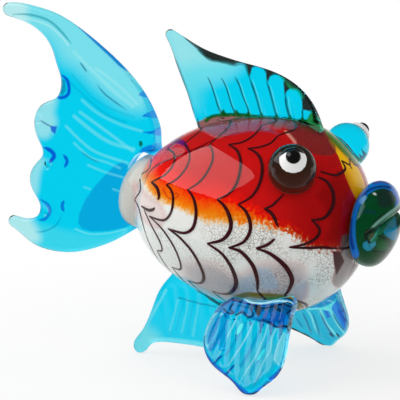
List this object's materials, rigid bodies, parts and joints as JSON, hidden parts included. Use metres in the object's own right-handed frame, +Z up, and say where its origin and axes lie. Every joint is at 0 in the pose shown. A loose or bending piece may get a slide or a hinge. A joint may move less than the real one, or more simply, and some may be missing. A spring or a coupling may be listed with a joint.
{
  "type": "fish figurine",
  "caption": "Solid hot-worked glass fish figurine with a combed pattern under clear glass, applied button eyes, round pressed lips, a swept tail and fins that serve as its feet.",
  "frame": {"origin": "middle of the bounding box's length and width, on the surface that the fish stands on", "axes": "+X to the mouth, +Y to the fish's left, +Z up"},
  "size_m": [0.2236, 0.1168, 0.1839],
  "materials": {
    "glass_core": "clear core of the body, hidden by the leaf and colours over it",
    "silver_leaf": "finely crackled silver leaf under clear glass",
    "red_overlay": "deep red glass over leaf, gloss",
    "amber_overlay": "yellow amber glass over leaf, gloss",
    "combed_threads": "near-black purple glass",
    "clear_casing": "clear fire-polished glass",
    "tail_fin": "clear turquoise fire-polished glass",
    "dorsal_fin": "clear turquoise fire-polished glass",
    "anal_fin": "clear turquoise fire-polished glass",
    "right_pectoral_fin": "clear turquoise fire-polished glass",
    "left_pectoral_fin": "clear turquoise fire-polished glass",
    "lips": "clear turquoise fire-polished glass, dark where it is thick",
    "eye_domes": "clear turquoise fire-polished glass",
    "eye_whites": "opaque white glass, gloss",
    "pupils": "opaque black glass, gloss"
  },
  "bodies": {
    "root": {"glass_core": "glass_core", "silver_leaf": "silver_leaf", "red_overlay": "red_overlay", "amber_overlay": "amber_overlay", "combed_threads": "combed_threads", "clear_casing": "clear_casing", "tail_fin": "tail_fin", "dorsal_fin": "dorsal_fin", "anal_fin": "anal_fin", "right_pectoral_fin": "right_pectoral_fin", "left_pectoral_fin": "left_pectoral_fin", "lips": "lips", "eye_domes": "eye_domes", "eye_whites": "eye_whites", "pupils": "pupils"}
  },
  "joints": []
}
